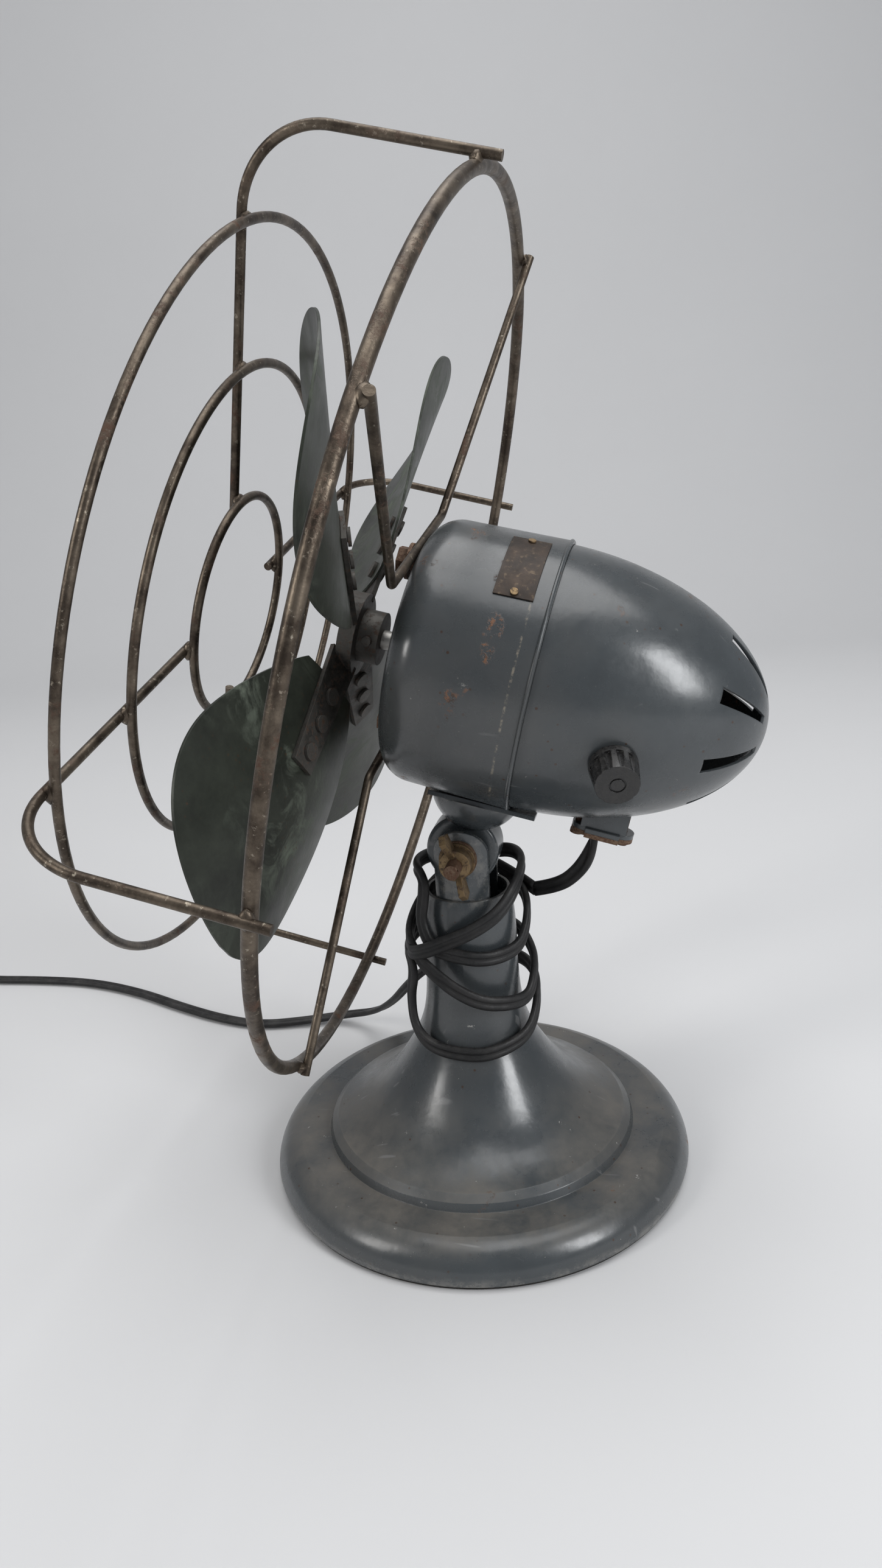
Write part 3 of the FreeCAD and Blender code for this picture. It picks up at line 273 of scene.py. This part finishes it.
def wire_plate():
    """Brass wash worn brown over steel wire, with bright rubs and rusty stretches."""
    p = Paint("Guard wire", metallic=0.8)
    tone = p.mix(p.ramp(p.noise(70, 6, 0.7), 0.38, 0.62), (0.050, 0.038, 0.029), (0.155, 0.125, 0.095))
    tone = p.mix(p.ramp(p.noise(520, 4, 0.7), 0.60, 0.70), tone, (0.34, 0.30, 0.24))
    rust = p.math("MULTIPLY", p.ramp(p.noise(130, 6, 0.8), 0.52, 0.62), p.ramp(p.noise(24, 2), 0.45, 0.6))
    tone = p.mix(rust, tone, (0.072, 0.036, 0.020))
    p.set("Base Color", tone)
    p.set("Metallic", p.math("SUBTRACT", 0.85, p.math("MULTIPLY", rust, 0.7)))
    p.set("Roughness", p.math("ADD", p.math("MULTIPLY", p.noise(200, 5), 0.3), p.math("ADD", p.math("MULTIPLY", rust, 0.3), 0.26)))
    p.relief(p.math("ADD", p.noise(900, 4), rust), 0.00008)
    return p.material


def bakelite():
    p = Paint("Bakelite", roughness=0.32, specular=0.5, coat=0.2)
    dirt = p.ramp(p.noise(380, 5, 0.7), 0.45, 0.7)
    p.set("Base Color", p.mix(p.math("MULTIPLY", dirt, 0.35), (0.007, 0.0065, 0.0065), (0.045, 0.042, 0.038)))
    p.set("Roughness", p.blend(dirt, 0.26, 0.55))
    p.relief(p.noise(700, 3), 0.00004, bevel=0.0005)
    return p.material


def plate_finish():
    """Brown lacquered plate, bare, with a worn rim and darker field."""
    p = Paint("Bare brown plate", metallic=0.45)
    field = p.mix(p.ramp(p.noise(120, 6, 0.7), 0.4, 0.66), (0.020, 0.013, 0.009), (0.050, 0.032, 0.021))
    field = p.mix(p.math("MULTIPLY", p.ramp(p.noise(480, 3), 0.58, 0.70), 0.5), field, (0.14, 0.10, 0.06))
    p.set("Base Color", field)
    p.set("Roughness", p.blend(p.noise(300, 4), 0.35, 0.6))
    p.relief(p.noise(600, 3), 0.00006, bevel=0.0003)
    return p.material


def cord_skin():
    """Old black rubber flex: fine cracks, grey dust in the groove and on top."""
    p = Paint("Cord rubber", specular=0.4)
    dust = p.math("MULTIPLY", p.ramp(p.facing_up(), 0.0, 1.0), p.ramp(p.noise(160, 5, 0.7), 0.4, 0.7))
    tone = p.mix(p.ramp(p.noise(90, 4), 0.4, 0.65), (0.0075, 0.0075, 0.008), (0.018, 0.017, 0.017))
    p.set("Base Color", p.mix(p.math("MULTIPLY", dust, 0.30), tone, (0.12, 0.115, 0.11)))
    p.set("Roughness", p.blend(p.noise(210, 4), 0.36, 0.60))
    cracks = p.ramp(p.cells(1300, feature="DISTANCE_TO_EDGE"), 0.0, 0.06)
    p.relief(p.math("ADD", cracks, p.noise(800, 3)), 0.00004)
    return p.material


def felt():
    p = Paint("Felt", roughness=0.95, specular=0.1)
    p.set("Base Color", p.mix(p.noise(1500, 4), (0.018, 0.017, 0.016), (0.06, 0.058, 0.054)))
    p.relief(p.noise(3000, 4), 0.0002)
    return p.material


def winding():
    """Varnished enamelled wire wound in bands."""
    p = Paint("Copper winding", metallic=0.5)
    p.set("Base Color", p.mix(p.noise(500, 3, stretch=(0.2, 3.0, 0.2)), (0.11, 0.035, 0.015), (0.34, 0.12, 0.05)))
    p.set("Roughness", p.blend(p.noise(700, 2), 0.3, 0.5))
    p.relief(p.noise(1600, 2, stretch=(0.3, 3.0, 0.3)), 0.0002)
    return p.material


def studio_paper(name, colour):
    p = Paint(name, roughness=0.62, specular=0.25)
    p.set("Base Color", p.mix(p.noise(3, 3), colour, tuple(c * 0.96 for c in colour)))
    p.set("Roughness", p.blend(p.noise(14, 3), 0.55, 0.7))
    return p.material


FINISHES = {
    "enamel": enamel("Enamel", rusty=1.0, dusty=0.25, chipped=0.2),
    "felt": felt(),
    "plated_steel": metal("Plated steel", (0.36, 0.35, 0.33), (0.17, 0.165, 0.155), 0.30, (0.10, 0.07, 0.05), 0.2),
    "rusty_steel": metal("Rusty steel", (0.16, 0.105, 0.07), (0.065, 0.036, 0.022), 0.50, (0.085, 0.036, 0.016), 0.8,
                         scale=420, metallic=0.55),
    "brass": metal("Tarnished brass", (0.22, 0.155, 0.085), (0.085, 0.058, 0.036), 0.40, (0.075, 0.045, 0.026), 0.6,
                   scale=300, metallic=0.85),
    "dark_steel": metal("Dark steel", (0.060, 0.056, 0.050), (0.022, 0.021, 0.019), 0.42, (0.052, 0.028, 0.016), 0.5,
                        metallic=0.6),
    "copper_winding": winding(),
    "bronze": metal("Sintered bronze", (0.36, 0.22, 0.10), (0.20, 0.12, 0.06), 0.40),
    "blade_patina": blade_paint(),
    "guard_wire": wire_plate(),
    "bakelite": bakelite(),
    "phenolic": metal("Phenolic board", (0.050, 0.027, 0.015), (0.030, 0.017, 0.010), 0.55, metallic=0.0),
    "plate_brown": plate_finish(),
    "cord_rubber": cord_skin(),
}


def finish_with(obj, slot_name):
    obj.data.materials.clear()
    obj.data.materials.append(FINISHES[slot_name])


# ---- mesh helpers -----------------------------------------------------------------
def new_mesh(name, points, faces, smooth=True):
    mesh = bpy.data.meshes.new(name)
    mesh.from_pydata([tuple(p) for p in points], [], faces)
    mesh.validate()
    mesh.update()
    if smooth:
        mesh.polygons.foreach_set("use_smooth", [True] * len(mesh.polygons))
    obj = bpy.data.objects.new(name, mesh)
    bpy.context.scene.collection.objects.link(obj)
    return obj


def spline_points(name, controls, per_span=10):
    """Points along a smooth curve through the spread of the controls, given in millimetres."""
    curve = bpy.data.curves.new(name, "CURVE")
    curve.dimensions = "3D"
    curve.resolution_u = per_span
    spline = curve.splines.new("NURBS")
    spline.points.add(len(controls) - 1)
    for point, place in zip(spline.points, controls):
        point.co = (place[0] * MM, place[1] * MM, place[2] * MM, 1.0)
    spline.order_u = 3
    spline.use_endpoint_u = True
    obj = bpy.data.objects.new(name, curve)
    bpy.context.scene.collection.objects.link(obj)
    mesh = bpy.data.meshes.new_from_object(obj)
    points = [v.co.copy() for v in mesh.vertices]
    bpy.data.meshes.remove(mesh)
    obj.hide_render = True
    obj.hide_viewport = True
    return obj, points


def running_length(points):
    return sum((b - a).length for a, b in zip(points, points[1:]))


CORD_W = 6.6 * MM            # flat two-conductor flex, across both conductors
CORD_T = 3.5 * MM


def flex_section(count=28):
    """Outline of the flat flex with a groove down each side, as (across, thick) pairs."""
    outline = []
    for k in range(count):
        turn = 2 * math.pi * k / count
        across = math.cos(turn)
        thick = math.sin(turn)
        waist = 0.45 + 0.55 * min(1.0, abs(across) / 0.42)
        round_off = abs(thick) ** 0.75 * (1 if thick >= 0 else -1)
        outline.append((across * CORD_W / 2, round_off * waist * CORD_T / 2))
    return outline


def flat_cord(name, points, flats):
    """Sweeps the flex along points; flats gives the direction that its thin side faces at each point."""
    outline = flex_section()
    rings = []
    count = len(points)
    for k, here in enumerate(points):
        ahead = (points[min(k + 1, count - 1)] - points[max(k - 1, 0)]).normalized()
        thin = flats[k] - ahead * flats[k].dot(ahead)
        thin.normalize()
        across = ahead.cross(thin)
        rings += [here + across * a + thin * t for a, t in outline]
    n = len(outline)
    faces = []
    for k in range(count - 1):
        for j in range(n):
            faces.append((k * n + j, k * n + (j + 1) % n, (k + 1) * n + (j + 1) % n, (k + 1) * n + j))
    faces.append(tuple(range(n))[::-1])
    faces.append(tuple((count - 1) * n + j for j in range(n)))
    obj = new_mesh(name, rings, faces)
    finish_with(obj, "cord_rubber")
    return obj


# ---- cord -----------------------------------------------------------------------------
def on_neck(theta, z, r):
    turn = math.radians(theta)
    return (r * math.cos(turn), r * math.sin(turn), z)


LEAD_START = head_point(-52.5, 60.7, 180)
LEAD = [tuple(LEAD_START), tuple(head_point(-52.5, 68.7, 180)), (-1.6, 48.0, 138.6), (-5.5, 38.9, 130.2), (-11.0, 27.9, 126.2)]
TURNS = [
    (-11.0, 27.9, 126.2), on_neck(140, 128, 28.5), on_neck(180, 136, 26), on_neck(230, 141, 24), on_neck(285, 144, 23),
    on_neck(316, 141, 22.5), on_neck(317, 133, 23.5), on_neck(313, 122, 25), on_neck(328, 112, 25.5),
    on_neck(351, 110, 25), on_neck(385, 107, 25), on_neck(425, 107, 25), on_neck(446, 114, 25.5),
    on_neck(465, 124, 26), on_neck(500, 126, 27.5), on_neck(550, 122, 28), on_neck(610, 112, 29),
    on_neck(660, 106, 29.5), on_neck(683, 110, 29), on_neck(712, 118, 28.1), on_neck(735, 123, 28),
    on_neck(760, 129, 27.5), on_neck(785, 139, 26.5), on_neck(830, 144, 25.5), on_neck(880, 140, 27),
    on_neck(940, 128, 28.6), on_neck(1000, 113, 29.2), on_neck(1038, 106, 28.6), on_neck(1057, 101, 28.1),
    on_neck(1075, 95, 28), on_neck(1097, 89, 28), on_neck(1122, 86, 28), on_neck(1147, 84, 28.1),
    on_neck(1160, 89, 28.4), on_neck(1185, 98, 28.6), on_neck(1230, 106, 29.1), on_neck(1300, 108, 29.5),
    on_neck(1360, 107, 29.5), on_neck(1392, 100, 29.2), on_neck(1380, 86, 29.4), on_neck(1384, 70, 29.4),
    on_neck(1410, 65, 29.1), on_neck(1449, 64, 28.6), on_neck(1473, 65, 28.6), on_neck(1504, 67, 28.8),
    on_neck(1524, 76, 29.2), on_neck(1550, 86, 29.2), on_neck(1580, 88, 29.2),
]
RUN = [
    (-31.0, 3.0, 84.0), (-36.0, -14.0, 79.0), (-46.0, -31.0, 68.0), (-62.0, -46.0, 50.0), (-79.0, -60.0, 29.0),
    (-96.0, -76.0, 12.0), (-104.0, -97.0, 4.4), (-98.0, -121.0, 2.4), (-92.0, -146.0, 1.9), (-97.0, -172.0, 1.9),
    (-108.0, -202.0, 1.9), (-123.0, -236.0, 1.9), (-133.0, -274.0, 1.9), (-133.0, -314.0, 1.9),
    (-130.0, -350.0, 1.9), (-138.0, -380.0, 2.2),
]
COIL_X = -112.0
COIL_Y = -416.0
COIL_START = 126.0           # angle where the cord reaches the coil
COIL_TURNS = 3.4
COIL_WIDE = 43.5             # first and last turn radius
COIL_NARROW = 31.0
PLUG_Z = 23.8
PLUG_X = COIL_X + 4.0
PLUG_Y = COIL_Y - COIL_NARROW


def coil_points():
    """Flat turns laid one on another, each a little smaller, ending on the way up to the plug."""
    steps = int(COIL_TURNS * 12)
    points = []
    for k in range(1, steps + 1):
        share = k / steps
        turn = math.radians(COIL_START + 360 * COIL_TURNS * share)
        r = COIL_WIDE + (COIL_NARROW - COIL_WIDE) * share
        wobble = 0.8 * math.sin(5.3 * k)
        rise = max(0.0, (share - 0.955) / 0.045) ** 1.5 * 6.0
        points.append((COIL_X + (r + wobble) * math.cos(turn), COIL_Y + (r + wobble) * math.sin(turn),
                       1.9 + 3.7 * COIL_TURNS * share + rise))
    points.append((PLUG_X - 6.0, PLUG_Y, PLUG_Z))
    points.append((PLUG_X + 3.0, PLUG_Y, PLUG_Z))
    return points


def facing(points):
    """Thin side of the flex: outwards on the neck, upwards on the floor, turning between."""
    flats = []
    for p in points:
        radial = Vector((p.x, p.y, 0))
        flat_r = 0.045
        share = min(1.0, max(0.0, (radial.length - flat_r) / 0.05))
        out = radial.normalized()
        flats.append((out * (1 - share) + Vector((0, 0, 1)) * share).normalized())
    return flats


lead_path, lead_points = spline_points("lead_path", LEAD)
lead = flat_cord("cord_lead_skin", lead_points, [Vector((0, 0.4, 1)).lerp(Vector((-0.37, 0.93, 0.1)), k / (len(lead_points) - 1))
                                                 for k in range(len(lead_points))])
main_path, main_points = spline_points("main_path", TURNS + RUN + coil_points())
cord = flat_cord("cord_skin", main_points, facing(main_points))


def make_plug():
    """Moulded plug with a tapered tail and three finger ridges."""
    stations = [(-9.0, 2.6, 2.2), (-8.0, 3.9, 3.2), (-2.0, 4.6, 3.9), (0.0, 7.0, 5.4), (1.4, 9.2, 7.4), (6.0, 9.8, 7.8),
                (7.0, 9.2, 7.2), (9.0, 9.2, 7.2), (10.0, 9.9, 7.9), (12.0, 9.9, 7.9), (13.0, 9.3, 7.3), (15.0, 9.3, 7.3),
                (16.0, 10.1, 8.1), (18.5, 10.2, 8.2), (19.5, 10.9, 8.5), (28.0, 10.9, 8.5), (29.4, 10.4, 8.0), (30.0, 9.2, 7.0)]
    sides = 28
    points = []
    for x, wide, high in stations:
        for k in range(sides):
            turn = 2 * math.pi * k / sides
            c, s = math.cos(turn), math.sin(turn)
            points.append(Vector((PLUG_X + x, PLUG_Y + wide * math.copysign(abs(c) ** 0.6, c),
                                  PLUG_Z + high * math.copysign(abs(s) ** 0.6, s))) * MM)
    faces = [(r * sides + k, r * sides + (k + 1) % sides, (r + 1) * sides + (k + 1) % sides, (r + 1) * sides + k)
             for r in range(len(stations) - 1) for k in range(sides)]
    faces.append(tuple(range(sides))[::-1])
    faces.append(tuple((len(stations) - 1) * sides + k for k in range(sides)))
    obj = new_mesh("plug_moulding", points, faces)
    finish_with(obj, "bakelite")
    return obj


plug = make_plug()
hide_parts("plug_body")
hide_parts("cord_lead")
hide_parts("cord_run", "cord_wrap", "cord_coil")
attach(plug, "stand")
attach(cord, "stand")
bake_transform(lead)
print("cord lengths", running_length(lead_points), running_length(main_points))


# ---- small details ------------------------------------------------------------------------
def bead(name, spots, size):
    """Braze beads: squashed lumps where wires are joined."""
    points = []
    faces = []
    rings, sides = 6, 10
    for index, (place, along) in enumerate(spots):
        base = len(points)
        turn = Vector((0, 0, 1)).rotation_difference(along.normalized())
        for r in range(rings + 1):
            lat = math.pi * r / rings
            for k in range(sides):
                lon = 2 * math.pi * k / sides
                lump = 1 + 0.12 * math.sin(3 * lon + index) * math.sin(2 * lat + index)
                local = Vector((math.sin(lat) * math.cos(lon), math.sin(lat) * math.sin(lon), 1.5 * math.cos(lat))) * size * lump
                points.append((place + turn @ local) * MM)
        for r in range(rings):
            for k in range(sides):
                faces.append((base + r * sides + k, base + r * sides + (k + 1) % sides,
                              base + (r + 1) * sides + (k + 1) % sides, base + (r + 1) * sides + k))
    obj = new_mesh(name, points, faces)
    finish_with(obj, "guard_wire")
    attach(obj, "head")
    return obj


GUARD_TURN = 15.0
joints = []
for k in range(4):
    phi = GUARD_TURN + 90 * k
    side = head_point(0, 10, phi + 90) - head_point(0, 0, 0)
    for ring_r in (146.6, 96.5, 45.5):
        joints.append((head_point(116.4, ring_r, phi), side))
    joints.append((head_point(39.2, 176.9, phi), side))
for phi in (GUARD_TURN - 41.5, GUARD_TURN + 41.5, GUARD_TURN + 138.5, GUARD_TURN + 221.5):
    joints.append((head_point(36.6, 174.6, phi), head_point(0, 10, phi + 90) - head_point(0, 0, 0)))
bead("guard_braze", joints, 2.5)


def bolt_thread():
    """Thread on the free end of the pivot bolt."""
    pitch, r_top, r_root = 1.27, 3.30, 2.85
    start, end = 26.5, 33.0
    sides = 24
    turns = (end - start) / pitch
    count = int(turns * sides)
    points = []
    for k in range(count + 1):
        turn = 2 * math.pi * k / sides
        x = start + pitch * k / sides
        for dx, r in ((-0.52, r_root), (-0.12, r_top), (0.12, r_top), (0.52, r_root)):
            points.append((PIVOT + Vector((min(x + dx, end), r * math.cos(turn), r * math.sin(turn)))) * MM)
    faces = [(4 * k + j, 4 * k + j + 1, 4 * k + j + 5, 4 * k + j + 4) for k in range(count) for j in range(3)]
    obj = new_mesh("bolt_thread", points, faces)
    finish_with(obj, "rusty_steel")
    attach(obj, "stand")


bolt_thread()

# ---- finishes on the CAD pieces ---------------------------------------------------------------
for part in frame["record"]["subparts"]:
    finish_with(nodes[part["node"]], part["material_slot"])
OWN_ENAMEL = {
    "base_casting": enamel("Base enamel", rusty=0.2, dusty=0.75, chipped=1.0, worn=0.6),
    "fork": enamel("Fork enamel", rusty=0.4, dusty=0.2, chipped=0.6, worn=0.5),
    "knuckle": enamel("Knuckle enamel", rusty=0.4, dusty=0.3, chipped=0.6, worn=0.4),
    "front_housing": enamel("Bell enamel", rusty=1.15, dusty=0.25, chipped=0.25, crease=True),
    "rear_housing": enamel("Tail enamel", rusty=0.8, dusty=0.2, chipped=0.45),
}
for node_name, material in OWN_ENAMEL.items():
    nodes[node_name].data.materials[0] = material


def seam_bead():
    """Rolled edge on the bell where it laps the tail."""
    round_steps, sides = 96, 10
    points = []
    for k in range(round_steps):
        phi = 360 * k / round_steps
        for j in range(sides):
            turn = 2 * math.pi * j / sides
            points.append(head_point(SEAM_S + 0.9 + 0.75 * math.cos(turn), SEAM_R - 0.15 + 0.75 * math.sin(turn), phi) * MM)
    faces = [(k * sides + j, k * sides + (j + 1) % sides, ((k + 1) % round_steps) * sides + (j + 1) % sides,
              ((k + 1) % round_steps) * sides + j) for k in range(round_steps) for j in range(sides)]
    obj = new_mesh("seam_bead", points, faces)
    obj.data.materials.append(OWN_ENAMEL["front_housing"])
    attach(obj, "head")


seam_bead()

# ---- studio --------------------------------------------------------------------------------------
floor_size = 2.6
bend = 0.7
reach = 1.15
profile = [(floor_size, -0.0006), (-reach, -0.0006)]
for k in range(1, 13):
    turn = math.radians(90 * k / 12)
    profile.append((-reach - bend * math.sin(turn), -0.0006 + bend * (1 - math.cos(turn))))
profile.append((-reach - bend, 2.6))
away = Vector((math.sin(math.radians(102.5)), -math.cos(math.radians(102.5)), 0))
side = Vector((-away.y, away.x, 0))
sweep_points = []
for along, high in profile:
    for across in (-3.2, 3.2):
        sweep_points.append(away * along + side * across + Vector((0, 0, high)))
backdrop = new_mesh("backdrop", sweep_points, [(2 * k, 2 * k + 1, 2 * k + 3, 2 * k + 2) for k in range(len(profile) - 1)])
backdrop.data.materials.append(studio_paper("Pale paper", (0.66, 0.66, 0.665)))


def soft_light(name, place, aim, size, power, colour=(1, 1, 1)):
    data = bpy.data.lights.new(name, "AREA")
    data.shape = "RECTANGLE"
    data.size = size[0]
    data.size_y = size[1]
    data.energy = power
    data.color = colour
    obj = bpy.data.objects.new(name, data)
    obj.location = place
    obj.rotation_euler = (Vector(aim) - Vector(place)).to_track_quat("-Z", "Y").to_euler()
    bpy.context.scene.collection.objects.link(obj)


AIM = (0, 0, 0.2)
soft_light("window right", (0.75, 1.45, 0.95), AIM, (0.45, 0.9), 17, (0.97, 0.985, 1.0))
soft_light("window left", (1.05, -1.25, 1.05), AIM, (0.35, 0.8), 10, (1.0, 0.985, 0.96))
soft_light("overhead", (-0.1, 0.1, 1.9), AIM, (1.7, 1.5), 24, (1.0, 1.0, 1.0))

world = bpy.data.worlds.new("Studio")
bpy.context.scene.world = world
world.use_nodes = True
world.node_tree.nodes["Background"].inputs["Color"].default_value = (0.80, 0.83, 0.88, 1)
world.node_tree.nodes["Background"].inputs["Strength"].default_value = 0.30

# ---- camera ---------------------------------------------------------------------------------------
CAMERA = Vector((0.4334, 0.08715, 0.31833))
HEADING = math.radians(102.52)
DOWN = math.radians(17.51)
ROLL = math.radians(-3.65)
forward = Vector((-math.sin(HEADING) * math.cos(DOWN), math.cos(HEADING) * math.cos(DOWN), -math.sin(DOWN)))
right = Vector((math.cos(HEADING), math.sin(HEADING), 0))
up = right.cross(forward)
rolled_right = right * math.cos(ROLL) + up * math.sin(ROLL)
rolled_up = up * math.cos(ROLL) - right * math.sin(ROLL)
camera_data = bpy.data.cameras.new("Camera")
camera_data.sensor_width = 36.0
camera_data.lens = 25.10
camera_data.clip_start = 0.01
camera = bpy.data.objects.new("Camera", camera_data)
bpy.context.scene.collection.objects.link(camera)
turn = Quaternion()
from mathutils import Matrix
axes = Matrix((rolled_right, rolled_up, -forward)).transposed()
camera.matrix_world = Matrix.Translation(CAMERA) @ axes.to_4x4()
bpy.context.scene.camera = camera

scene = bpy.context.scene
scene.view_settings.view_transform = "Standard"
scene.view_settings.look = "None"
